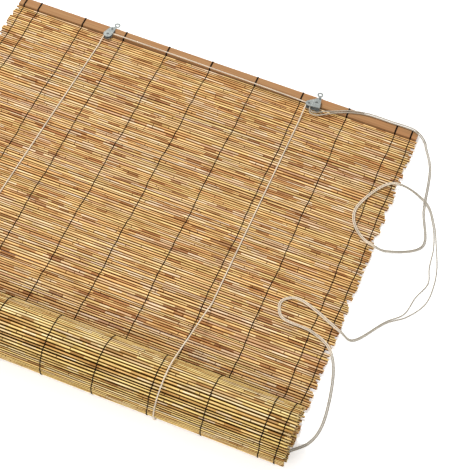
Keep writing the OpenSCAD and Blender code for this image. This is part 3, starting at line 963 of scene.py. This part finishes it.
@dataclass
class LiftCords:
    """The two lift cords: in front of the mat, round the roll, behind the mat, and along the rail."""

    maker: CordMaker
    axis: Pair
    travel: float
    routes: tuple[LiftRoute, ...] = (LEFT_LIFT, RIGHT_LIFT)
    bight_r: float = 0.0603
    bight_deg: Pair = (62.5, 270.0)
    bight_points: int = 60
    climb_shares: Point = (0.12, 0.5, 1.0)
    riser_keep: float = 0.12
    rail_hole_y: float = 0.40315
    back_bend: float = 0.006
    bend_shares: Point = (0.25, 0.2, 0.8)
    pulley: Point = (-0.2395, 0.39215, 0.01475)
    pulley_r: float = 0.0065
    lock: Point = (0.2166, 0.38815, 0.01475)
    lock_r: float = 0.0046
    upper_groove: float = 0.0039
    quarter_deg: tuple[float, ...] = (0, 30, 60, 90)
    half_deg: tuple[float, ...] = (0, 30, 60, 90, 120, 150, 180)
    top_run_steps: int = 80

    def build(self) -> None:
        """Makes every stretch of the lift cords."""
        for route in self.routes:
            self.front(route)
            self.bight(route)
            self.back(route)
        self.top_run()

    def on_roll(self, roll_x: float, degrees: float) -> Point:
        """Finds a point of a bight.

        Args:
            roll_x: Its place along the roll.
            degrees: Its angle round the roll, from the rail's side up.

        Returns:
            The point.
        """
        turn = math.radians(degrees)
        y, z = self.axis
        return roll_x, y + self.bight_r * math.cos(turn), z + self.bight_r * math.sin(turn)

    def front(self, route: LiftRoute) -> None:
        """Makes a front stretch in three lengths: at its wheel, over the mat, and up to the roll.

        The last one rides on the carriage, the other two on the root.

        Args:
            route: The cord's route.
        """
        meet = np.array(self.on_roll(route.roll_x, self.bight_deg[0]))
        lift = np.array(route.front[-1])
        points = [np.array(p) for p in route.front]
        points += [lift + (meet - lift) * share for share in self.climb_shares]
        if route.over_lock:
            over = [self.round_wheel(self.lock, self.lock_r, a, self.upper_groove) for a in self.half_deg]
            points = [np.array(p) for p in over] + points
        line = smooth_line(np.array(points))
        line[:, 2] = np.maximum(line[:, 2], lift[2])
        leave, foot = (int(np.argmax(line[:, 1] <= point[1])) for point in (route.front[1], route.front[-1]))
        stub, _ = self.maker.twist(f"{route.side}_front_rope", line[:leave + 1])
        run, _ = self.maker.twist(f"{route.side}_run_rope", line[leave:foot + 1])
        riser, _ = self.maker.twist(f"{route.side}_riser_rope", line[foot:])
        for cord, body in ((stub, Body.ROOT), (run, Body.ROOT), (riser, Body.CARRIAGE)):
            seat(cord, body, Slot.COTTON, f"{route.side}_front_cord")
        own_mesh(riser)
        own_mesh(run)

    def bight(self, route: LiftRoute) -> None:
        """Makes the stretch that cradles the roll.

        Args:
            route: The cord's route.
        """
        steps = np.linspace(*self.bight_deg, self.bight_points)
        line = np.array([self.on_roll(route.roll_x, a) for a in steps])
        cord, _ = self.maker.twist(f"{route.side}_bight_rope", line)
        seat(cord, Body.CARRIAGE, Slot.COTTON, f"{route.side}_bight")

    def back(self, route: LiftRoute) -> None:
        """Makes the stretch behind the mat, up into its hole in the rail.

        Args:
            route: The cord's route.
        """
        x, y = route.hole_x, self.rail_hole_y
        radius = self.maker.diameter / 2
        back, up, top = (self.back_bend * share for share in self.bend_shares)
        line = smooth_line(np.array([
            (route.roll_x, self.axis[0], radius), ((route.roll_x + x) / 2, 0.0, radius),
            (x, y - self.back_bend, radius), (x, y - back, radius + up), (x, y, radius + top)]))
        cord, _ = self.maker.twist(f"{route.side}_back_rope", line)
        seat(cord, Body.ROOT, Slot.COTTON, f"{route.side}_back_cord")
        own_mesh(cord)

    @staticmethod
    def round_wheel(wheel: Point, radius: float, degrees: float, rise: float = 0.0) -> Point:
        """Finds a point of a cord on a wheel.

        Args:
            wheel: The wheel's centre at its lower groove.
            radius: The cord's radius on it.
            degrees: The angle round the wheel.
            rise: Height above the lower groove.

        Returns:
            The point.
        """
        turn = math.radians(degrees)
        return wheel[0] + radius * math.cos(turn), wheel[1] + radius * math.sin(turn), wheel[2] + rise

    def top_run(self) -> None:
        """Makes the run over the pulley, along the rail and over the lock."""
        first = [self.round_wheel(self.pulley, self.pulley_r, 180 - a) for a in self.quarter_deg]
        last = [self.round_wheel(self.lock, self.lock_r, 90 - a) for a in self.quarter_deg]
        cord, _ = self.maker.twist("top_run_rope", smooth_line(np.array(first + last), self.top_run_steps))
        seat(cord, Body.ROOT, Slot.COTTON, "top_run_cord")


class FarEnd(str, Enum):
    """What a stretch of cord ends at."""

    OBJECT = "object"
    KNOT = "knot"


@dataclass
class PullCords:
    """The two pull cords: from the lock along the rail, and in loops over mat and floor to their knot."""

    maker: CordMaker
    lead_maker: CordMaker
    join_share: float = 0.25
    floor_z: float = 0.0015
    draw_in: float = 0.0006
    knot_r: float = 0.0036
    tail_anchor_x: float = 0.474
    tail_keep: float = 0.10
    knot_turns: float = 2.5
    knot_points: int = 90
    knot_length: float = 2.4
    upper_exit: Point = (0.2212, 0.38755, 0.01475)
    lower_exit: Point = (0.2212, 0.38755, 0.01865)
    level_y: float = 0.38255
    upper_lead: tuple[Point, ...] = (
        (0.2226, 0.3796, 0.0140), (0.2280, 0.3774, 0.0116), (0.2390, 0.3806, 0.0116),
        (0.2530, 0.3876, 0.0130), (0.2680, 0.3944, 0.0138), (0.3000, 0.4104, 0.0138),
        (0.3360, 0.4194, 0.0138), (0.3900, 0.4204, 0.0138), (0.4400, 0.4196, 0.0138),
        (0.4570, 0.4110, 0.0126))
    lower_lead: tuple[Point, ...] = (
        (0.2218, 0.3786, 0.0172), (0.2254, 0.3726, 0.0120), (0.2380, 0.3720, 0.0108),
        (0.2540, 0.3804, 0.0116), (0.2700, 0.3898, 0.0138), (0.3020, 0.4060, 0.0138),
        (0.3364, 0.4150, 0.0138), (0.3900, 0.4160, 0.0138), (0.4400, 0.4152, 0.0138),
        (0.4536, 0.4086, 0.0130))
    tail_route: tuple[tuple[float, float, float, float], ...] = (
        (0.474, 0.393, 0.0020, 0.0022), (0.497, 0.346, 0.0015, 0.0022), (0.517, 0.236, 0.0015, 0.0022),
        (0.539, 0.150, 0.0015, 0.0022), (0.474, 0.109, 0.0040, 0.0022), (0.452, 0.106, 0.0116, 0.0022),
        (0.424, 0.117, 0.0108, 0.0022), (0.397, 0.148, 0.0108, 0.0022), (0.392, 0.184, 0.0108, 0.0022),
        (0.442, 0.270, 0.0114, 0.0022), (0.514, 0.255, 0.0054, 0.0022), (0.544, 0.212, 0.0030, 0.0022),
        (0.563, 0.160, 0.0015, 0.0032), (0.574, 0.110, 0.0015, 0.0080), (0.581, 0.072, 0.0015, 0.0065),
        (0.573, 0.028, 0.0015, 0.0120), (0.556, -0.016, 0.0015, 0.0045), (0.527, -0.045, 0.0015, 0.0022),
        (0.479, -0.110, 0.0022, 0.0022), (0.452, -0.105, 0.0116, 0.0022), (0.354, -0.069, 0.0108, 0.0022),
        (0.330, -0.088, 0.0108, 0.0022), (0.342, -0.119, 0.0108, 0.0022), (0.404, -0.127, 0.0108, 0.0022),
        (0.445, -0.147, 0.0116, 0.0022), (0.467, -0.180, 0.0040, 0.0022), (0.487, -0.302, 0.0015, 0.0022),
        (0.476, -0.344, 0.0015, 0.0022), (0.452, -0.370, 0.0015, 0.0022), (0.430, -0.3942, 0.0015, 0.0022))

    def build(self) -> None:
        """Makes both cords and the knot."""
        knot = self.knot()
        for name, out, lead, side in (("upper", self.upper_exit, self.upper_lead, 1),
                                      ("lower", self.lower_exit, self.lower_lead, -1)):
            tail = self.strand(side)
            join = tail[0] + self.join_share * (tail[0] - tail[1])
            level = (out[0], self.level_y, out[2])
            points = np.vstack([[out], [level], lead, [join], tail])
            spans = curve_through(points)
            split = len(points) - len(tail)
            first = np.vstack(spans[:split] + [points[split]])
            rest = np.vstack(spans[split:] + [points[-1]])
            self.stretch(self.lead_maker, f"{name}_pull_lead", first)
            hung = self.stretch(self.maker, f"{name}_pull_tail", rest)
            self.gather(hung)

    def gather(self, piece: bpy.types.Object) -> None:
        """Gives a piece its own copy of its mesh.

        Args:
            piece: The piece.
        """
        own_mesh(piece)

    def strand(self, side: int) -> np.ndarray:
        """Offsets the pair's route to one of its two cords.

        Args:
            side: One for the upper cord, minus one for the lower.

        Returns:
            The cord's points.
        """
        table = np.array(self.tail_route)
        place = table[:, :3]
        last = len(place) - 1
        way = np.array([place[min(i + 1, last)] - place[max(i - 1, 0)] for i in range(len(place))])
        across = units(np.stack([-way[:, 1], way[:, 0], np.zeros(len(way))], axis=1))
        return place + side * (table[:, 3:] - self.draw_in) * across

    def stretch(self, maker: CordMaker, node: str, line: np.ndarray) -> bpy.types.Object:
        """Makes one declared stretch of a pull cord.

        Args:
            maker: What twists it.
            node: The plain tube that it stands for.
            line: Its middle line.

        Returns:
            The cord.
        """
        line = line.copy()
        line[:, 2] = np.maximum(line[:, 2], self.floor_z)
        cord, path = maker.twist(node.replace("pull_", "pull_rope_"), line)
        seat(cord, Body.ROOT, Slot.COTTON, node)
        return cord

    def knot(self) -> bpy.types.Object:
        """Makes the overhand knot that joins the two cords, lying on the floor.

        Returns:
            The knot.
        """
        end = np.array(self.tail_route[-1][:3])
        way = end - np.array(self.tail_route[-2][:3])
        way /= np.linalg.norm(way)
        across = np.array([-way[1], way[0], 0.0])
        low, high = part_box("pull_knot")
        middle = np.array([(low[i] + high[i]) / 2 for i in range(3)])
        radius = self.knot_r - self.maker.diameter / 2
        turn = np.linspace(0.0, math.tau * self.knot_turns, self.knot_points)
        coil = np.outer((turn / turn[-1] - 0.5) * radius * self.knot_length, way)
        loop = middle + np.outer(np.cos(turn) * radius, across) + coil
        loop[:, 2] += np.sin(turn) * radius
        knot, _ = self.maker.twist("pull_rope_knot", loop)
        seat(knot, Body.ROOT, Slot.COTTON, "pull_knot")
        self.gather(knot)
        return knot


@dataclass(frozen=True)
class Reed:
    """One reed: its number, ends, middle and directions in Y and Z, width, steps along it, and painted shade.
    """

    number: float
    start: float
    end: float
    centre: Pair
    across: Pair
    out: Pair
    width: float
    steps: int
    painted_shade: float = 0.0


@dataclass
class ReedCutter:
    """Cuts single reeds, each with its own size, bend, taper and nodes."""

    rng: random.Random
    sides: int = 8
    thick: float = 0.0046
    node_gap: float = 0.24
    first_node: Pair = (0.2, 1.0)
    later_nodes: Pair = (0.7, 1.3)
    node_rings: tuple[float, ...] = (-1.0, -0.35, 0.0, 0.35, 1.0)
    node_swell: float = 0.00022
    node_reach: float = 0.003
    node_sharpness: float = 0.4
    plain_steps: int = 8
    wander: float = 0.0003
    wave_lengths: Pair = (0.25, 0.6)
    lift_share: float = 0.5
    lift_length: float = 0.7
    taper: float = 0.06
    end_round: float = 0.0008
    end_share: float = 0.72
    bore: float = 0.5
    bore_depth: float = 0.002
    unshaded_end: float = 0.006
    shaded_from: float = 0.016

    def cut(self, draft: Draft, reed: Reed) -> None:
        """Adds one reed to a mesh.

        Args:
            draft: The mesh.
            reed: The reed.
        """
        nodes = self.nodes(reed)
        x = self.stations(reed, nodes)
        inward = np.minimum(x - reed.start, reed.end - x)
        swell = np.zeros_like(x)
        for node in nodes:
            swell += np.exp(-((x - node) / (self.node_sharpness * self.node_reach)) ** 2)
        wave = self.rng.uniform(0, math.tau)
        length = self.rng.uniform(*self.wave_lengths)
        lean = self.wander * np.sin(math.tau * x / length + wave)
        lift = self.lift_share * self.wander * np.sin(math.tau * x / (self.lift_length * length) + 2 * wave)
        taper = 1 + self.rng.uniform(-self.taper, self.taper) * (x - reed.start) / (reed.end - reed.start)
        ends = np.minimum(1.0, self.end_share + (1 - self.end_share) * inward / self.end_round)
        half_w = (reed.width / 2 * taper + self.node_swell * swell) * ends
        half_t = (self.thick / 2 * taper + self.node_swell * swell) * ends
        # Painted shade along the reed, none at its cut ends
        dark = np.interp(inward, (self.unshaded_end, self.shaded_from), (0.0, reed.painted_shade))
        # Painted shade at the bottom of each bore, with the node rings between
        mark = np.concatenate([[1.0, 0.0], np.clip(swell, dark, 1.0), [0.0, 1.0]])
        x = np.concatenate([
            [reed.start + self.bore_depth, reed.start], x, [reed.end, reed.end - self.bore_depth]])
        lean, lift = self.bored(lean, 1.0), self.bored(lift, 1.0)
        half_w, half_t = self.bored(half_w, self.bore), self.bored(half_t, self.bore)
        angle = round_angles(self.sides)
        side = np.cos(angle)[None] * half_w[:, None] + lean[:, None]
        rise = np.sin(angle)[None] * half_t[:, None] + lift[:, None]
        rings = np.stack([np.repeat(x[:, None], self.sides, 1)] + [
            reed.centre[k] + reed.across[k] * side + reed.out[k] * rise for k in range(2)], axis=2)
        flank = np.repeat(np.abs(np.cos(angle))[None], len(x), 0)
        # The two rings of each bore and the ring at its mouth show no flank
        flank[:3] = flank[-3:] = 0.0
        grain = np.stack([rings[..., 0], np.full_like(side, reed.number), flank], axis=2)
        draft.tube(rings, grain, np.repeat(mark[:, None], self.sides, 1), crisp=2)

    def nodes(self, reed: Reed) -> list[float]:
        """Draws the places of a reed's nodes, none of them on a reed that is hidden in the roll.

        Args:
            reed: The reed.

        Returns:
            The places along it.
        """
        node = reed.start + self.rng.uniform(*self.first_node) * self.node_gap
        nodes = []
        while node < reed.end - self.node_reach and reed.steps > self.plain_steps:
            nodes.append(node)
            node += self.rng.uniform(*self.later_nodes) * self.node_gap
        return nodes

    def stations(self, reed: Reed, nodes: list[float]) -> np.ndarray:
        """Finds where a reed has its rings: evenly along it, near its ends and round its nodes.

        Args:
            reed: The reed.
            nodes: The places of its nodes.

        Returns:
            The places along it, in order.
        """
        places = set(np.linspace(reed.start, reed.end, reed.steps).tolist())
        for inset in (self.end_round,) + ((self.unshaded_end, self.shaded_from) if reed.painted_shade else ()):
            places |= {reed.start + inset, reed.end - inset}
        for node in nodes:
            places |= {node + share * self.node_reach for share in self.node_rings}
        return np.array(sorted(places))

    @staticmethod
    def bored(values: np.ndarray, share: float) -> np.ndarray:
        """Carries a reed's end values on into its two bores.

        Args:
            values: One value for each ring.
            share: What becomes of the end values in a bore.

        Returns:
            The values, with two more at each end.
        """
        return np.concatenate([[values[0] * share] * 2, values, [values[-1] * share] * 2])


@dataclass
class ReedMat:
    """The flat mat of single reeds, from under the rail to the underside of the roll."""

    material: bpy.types.Material
    axis: Pair
    travel: float
    pitch: float = 0.0053
    spacings: Pair = (0.66, 1.34)
    fills: Pair = (0.96, 1.02)
    ragged: float = 0.009
    ragged_power: int = 3
    notch: float = 0.006
    notch_chance: float = 0.15
    nip: float = 0.024
    steps: int = 26
    seed: int = 11
    places: list[float] = field(default_factory=list)
    widths: list[float] = field(default_factory=list)
    middle_z: float = 0.0

    def build(self) -> None:
        """Makes the reeds and sets them on the frame."""
        low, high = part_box("reed_mat")
        rng = random.Random(self.seed)
        cutter = ReedCutter(rng)
        self.middle_z = (low.z + high.z) / 2
        draft = Draft()
        edge = high.y
        number = 0
        while edge - self.pitch > self.axis[0]:
            spacing = self.pitch * rng.uniform(*self.spacings)
            y = edge - spacing / 2
            ends = [low.x + self.shortfall(rng), high.x - self.shortfall(rng)]
            width = spacing * rng.uniform(*self.fills)
            cutter.cut(draft, Reed(
                number=number + rng.random(), start=ends[0], end=ends[1], centre=(y, self.middle_z),
                across=(1.0, 0.0), out=(0.0, 1.0), width=width, steps=self.steps))
            self.places.append(y)
            self.widths.append(width)
            edge -= spacing
            number += 1
        mat = draft.build("mat_reeds", self.material)
        seat(mat, Body.ROOT, Slot.REED, "reed_mat")
        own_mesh(mat)
        LOG.info("mat of %d reeds", number)

    def kept_below(self, top: float) -> float:
        """Works out what is left of the mat once the roll is up, short of the roll's underside.

        Args:
            top: The height in Y that stays.

        Returns:
            The share of the mat's length.
        """
        return 1 - (self.travel + self.nip) / (top - self.axis[0])

    def shortfall(self, rng: random.Random) -> float:
        """Draws how far a reed falls short of the mat's edge.

        Args:
            rng: The source of chance.

        Returns:
            The distance.
        """
        short = self.ragged * rng.random() ** self.ragged_power
        if rng.random() < self.notch_chance:
            short += self.notch * rng.random()
        return short


@dataclass
class ReedRoll:
    """The rolled part of the mat: a spiral of single reeds round the stick."""

    material: bpy.types.Material
    axis: Pair
    spiral_r: float = 0.0561
    turn_pitch: float = 0.0075
    turns: float = 5.5
    start_angle: float = 1.5 * math.pi
    pitch: float = 0.0050
    spacings: Pair = (0.72, 1.28)
    ragged: float = 0.005
    ragged_power: int = 2
    inner_short: float = 0.009
    # Painted shade on the inner turns, which show through the gaps of the outer turn
    inner_painted_shade: float = 1.0
    close_deg: Pair = (30.0, 104.0)
    close_widths: Pair = (0.94, 1.0)
    loose_widths: Pair = (0.76, 0.88)
    first_number: int = 500
    outer_steps: int = 24
    inner_steps: int = 6
    seed: int = 23
    angles: list[float] = field(default_factory=list)
    radii: list[float] = field(default_factory=list)

    def build(self) -> None:
        """Makes the reeds and sets them on the roll."""
        low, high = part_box("reed_mat")
        rng = random.Random(self.seed)
        cutter = ReedCutter(rng)
        draft = Draft()
        turn = 0.0
        number = self.first_number
        while turn < self.turns * math.tau:
            radius = self.spiral_r - self.turn_pitch * turn / math.tau
            spacing = self.pitch * rng.uniform(*self.spacings)
            angle = self.start_angle - turn - spacing / 2 / radius
            out = (math.cos(angle), math.sin(angle))
            across = (-out[1], out[0])
            centre = (self.axis[0] + radius * out[0], self.axis[1] + radius * out[1])
            outer = turn < math.tau
            inset = 0.0 if outer else self.inner_short
            short = [self.ragged * rng.random() ** self.ragged_power + inset for _ in range(2)]
            close = self.close_deg[0] < math.degrees(angle) < self.close_deg[1]
            widths = self.close_widths if close else self.loose_widths
            cutter.cut(draft, Reed(
                number=number + rng.random(), start=low.x + short[0], end=high.x - short[1], centre=centre,
                across=across, out=out, width=spacing * rng.uniform(*widths),
                steps=self.outer_steps if outer else self.inner_steps,
                painted_shade=0.0 if outer else self.inner_painted_shade))
            if outer:
                self.angles.append(angle)
                self.radii.append(radius)
            turn += spacing / radius
            number += 1
        roll = draft.build("roll_reeds", self.material)
        seat(roll, Body.ROLL, Slot.REED, "mat_roll")
        LOG.info("roll of %d reeds", number - self.first_number)


@dataclass
class TwineMaker:
    """Twists and lays the dark warp twine."""

    material: bpy.types.Material
    sides: int = 6
    half_w: float = 0.0009
    half_t: float = 0.0006
    cross_shift: float = 0.0006
    squareness: float = 0.55
    per_reed: int = 5
    sways: tuple[Pair, ...] = ((44.0, 0.0010), (17.0, 0.0006), (6.0, 0.0003))
    sway_spread: Pair = (0.7, 1.3)

    def lay(self, draft: Draft, line: np.ndarray) -> None:
        """Adds one flattened strand along a line.

        Args:
            draft: The mesh.
            line: The strand's middle line.
        """
        way = units(np.gradient(line, axis=0))
        first = units(np.array([1.0, 0.0, 0.0]) - way * way[:, :1])
        second = np.cross(way, first)
        angle = round_angles(self.sides)
        rings = (line[:, None] + self.half_w * np.cos(angle)[None, :, None] * first[:, None]
                 + self.half_t * np.sin(angle)[None, :, None] * second[:, None])
        grain = np.zeros_like(rings)
        grain[..., 0] = places_along(line)[:, None]
        grain[..., 2] = (np.arange(self.sides) / self.sides)[None]
        draft.tube(rings, grain)

    def twine(self, draft: Draft, x: float, centres: np.ndarray, outs: np.ndarray, rise: float,
              rng: random.Random) -> None:
        """Adds the two strands that twine round a row of reeds.

        Args:
            draft: The mesh.
            x: Place of the thread along the reeds.
            centres: Middles of the reeds in Y and Z.
            outs: Directions of their crests in Y and Z.
            rise: Distance from a reed's middle to the strand on its crest.
            rng: The source of chance.
        """
        count = len(centres)
        t = np.linspace(-0.5, count - 0.5, count * self.per_reed + 1)
        at = np.clip(t, 0, count - 1)
        middle, out = (np.stack([np.interp(at, np.arange(count), rows[:, k]) for k in range(2)], axis=1)
                       for rows in (centres, outs))
        sway = np.zeros_like(t)
        for reeds, reach in self.sways:
            start = rng.uniform(0, math.tau)
            waves = math.tau * t / (reeds * rng.uniform(*self.sway_spread))
            sway += reach * (np.sin(waves + start) - math.sin(start))
        for phase in (0.0, 1.0):
            swing = np.cos(math.pi * (t + phase))
            height = rise * np.sign(swing) * np.abs(swing) ** self.squareness
            shift = self.cross_shift * np.sin(math.pi * (t + phase))
            line = np.column_stack([x + sway + shift, middle + out * height[:, None]])
            self.lay(draft, line)


@dataclass
class WarpThreads:
    """The warp threads: stitches round the rail, twine through the mat, and twine round the roll."""

    maker: TwineMaker
    mat: ReedMat
    roll: ReedRoll
    seed: int = 37
    stitch_turns: int = 2
    stitch_pitch: float = 0.0016
    corner: float = 0.3
    per_turn: int = 36

    def build(self, threads: list[str]) -> None:
        """Makes every warp thread.

        Args:
            threads: Names of the frame's thread nodes.
        """
        roll_draft = Draft()
        rng = random.Random(self.seed)
        outs = np.array([(math.cos(a), math.sin(a)) for a in self.roll.angles])
        rings = np.array(self.roll.axis) + outs * np.array(self.roll.radii)[:, None]
        rise = ReedCutter.thick / 2 + self.maker.half_t
        for node in threads:
            low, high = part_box(node)
            x = (low.x + high.x) / 2
            draft = Draft()
            self.stitch(draft, x)
            flat = np.column_stack([self.mat.places, np.full(len(self.mat.places), self.mat.middle_z)])
            self.maker.twine(draft, x, flat, np.tile([0.0, 1.0], (len(flat), 1)), rise, rng)
            self.maker.twine(roll_draft, x, rings, outs, rise, rng)
            thread = draft.build(node.replace("thread", "twine"), self.maker.material)
            seat(thread, Body.ROOT, Slot.THREAD, node)
            self.shorten(thread)
        roll = roll_draft.build("roll_twine", self.maker.material)
        seat(roll, Body.ROLL, Slot.THREAD, "roll_threads")
        LOG.info("%d warp threads", len(threads))

    def shorten(self, thread: bpy.types.Object) -> None:
        """Gives a thread its own copy of its mesh; the share of the mat that stays is worked out but not
        used.

        Args:
            thread: The thread.
        """
        anchor = self.mat.places[0] + self.mat.widths[0] / 2
        self.mat.kept_below(anchor)
        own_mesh(thread)

    def stitch(self, draft: Draft, x: float) -> None:
        """Adds the turns of twine that bind the mat to the rail.

        Args:
            draft: The mesh.
            x: Place of the thread along the rail.
        """
        low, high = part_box("head_rail")
        turn = np.linspace(0.0, math.tau * self.stitch_turns, self.per_turn * self.stitch_turns)
        reach = [(high[k] - low[k]) / 2 + self.maker.half_t for k in (1, 2)]
        bend = [np.sign(f) * np.abs(f) ** self.corner for f in (np.cos(turn), np.sin(turn))]
        line = np.column_stack([
            x + self.stitch_pitch * (turn / math.tau - self.stitch_turns / 2),
            (low.y + high.y) / 2 + reach[0] * bend[0], (low.z + high.z) / 2 + reach[1] * bend[1]])
        self.maker.lay(draft, line)


@dataclass
class Fittings:
    """Rail, stick and metal fittings, which keep their solids and get their finishes."""

    nodes: dict[str, bpy.types.Object]
    wood: tuple[str, ...] = ("head_rail", "bottom_bar")
    sheets: tuple[str, ...] = (
        "pulley_back_plate", "pulley_front_plate", "lock_back_plate", "lock_front_plate")
    steel: tuple[str, ...] = (
        "pulley_wheel", "pulley_rivet", "lock_wheel", "lock_rivet", "lock_pawl", "pawl_rivet",
        "fixing_screws")
    batten: BattenFinish = BattenFinish()
    zinc: MetalFinish = MetalFinish(
        "galvanised_sheet", paint(152, 156, 152), paint(112, 118, 116), metallic=0.25, roughness=0.40,
        spangle=420.0)
    plated: MetalFinish = MetalFinish(
        "plated_steel", paint(110, 112, 110), paint(70, 72, 72), metallic=0.5, roughness=0.30,
        spangle=900.0)

    def dress(self) -> None:
        """Gives every solid that stays its finish."""
        for names, finish in ((self.wood, self.batten), (self.sheets, self.zinc), (self.steel, self.plated)):
            material = finish.material()
            for name in names:
                slots = self.nodes[name].data.materials
                slots.clear()
                slots.append(material)
            LOG.info("finish %s on %d solids", finish.name, len(names))


def main() -> None:
    """Builds the blind round its frame, with the camera and the cords first."""
    logging.basicConfig(level=logging.INFO, format="%(name)s: %(message)s")
    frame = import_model()
    joints = {joint["name"]: joint for joint in frame["joints"]}
    axis = tuple(joints[Joint.ROLL_TURN.value]["pos_m"][1:])
    travel = joints[Joint.ROLL_UP.value]["range_m"][1]
    Viewpoint().build()
    maker = CordMaker(CottonFinish().material())
    # The pull leads get a darker copy of the cotton: painted shade
    shaded_lead_maker = CordMaker(CottonFinish("shaded_lead_cotton", cream=paint(206, 196, 178)).material())
    PullCords(maker, shaded_lead_maker).build()
    LiftCords(maker, axis, travel).build()
    Studio().build()
    reed = ReedFinish()
    mat = ReedMat(reed.material(), axis, travel)
    mat.build()
    # The roll's reeds get a brighter copy of the mat's finish and a darker gap shade: painted light and
    # painted shade on the same reed
    rolled = replace(reed, name="painted_light_roll_reed", straw=paint(255, 232, 170), honey=paint(252, 221, 154),
                     brown=paint(214, 174, 112), rust=paint(210, 164, 110), dusk=paint(234, 206, 166),
                     green=paint(250, 232, 158), pale=paint(255, 247, 216), scar=paint(178, 130, 74),
                     flank_shade_tint=paint(249, 223, 174), shade=paint(62, 34, 2))
    roll = ReedRoll(rolled.material(), axis)
    roll.build()
    threads = sorted(name for name in frame["nodes"] if name.startswith("warp_thread_"))
    WarpThreads(TwineMaker(TwineFinish().material()), mat, roll).build(threads)
    Fittings(frame["nodes"]).dress()


if __name__ == "__main__":
    main()
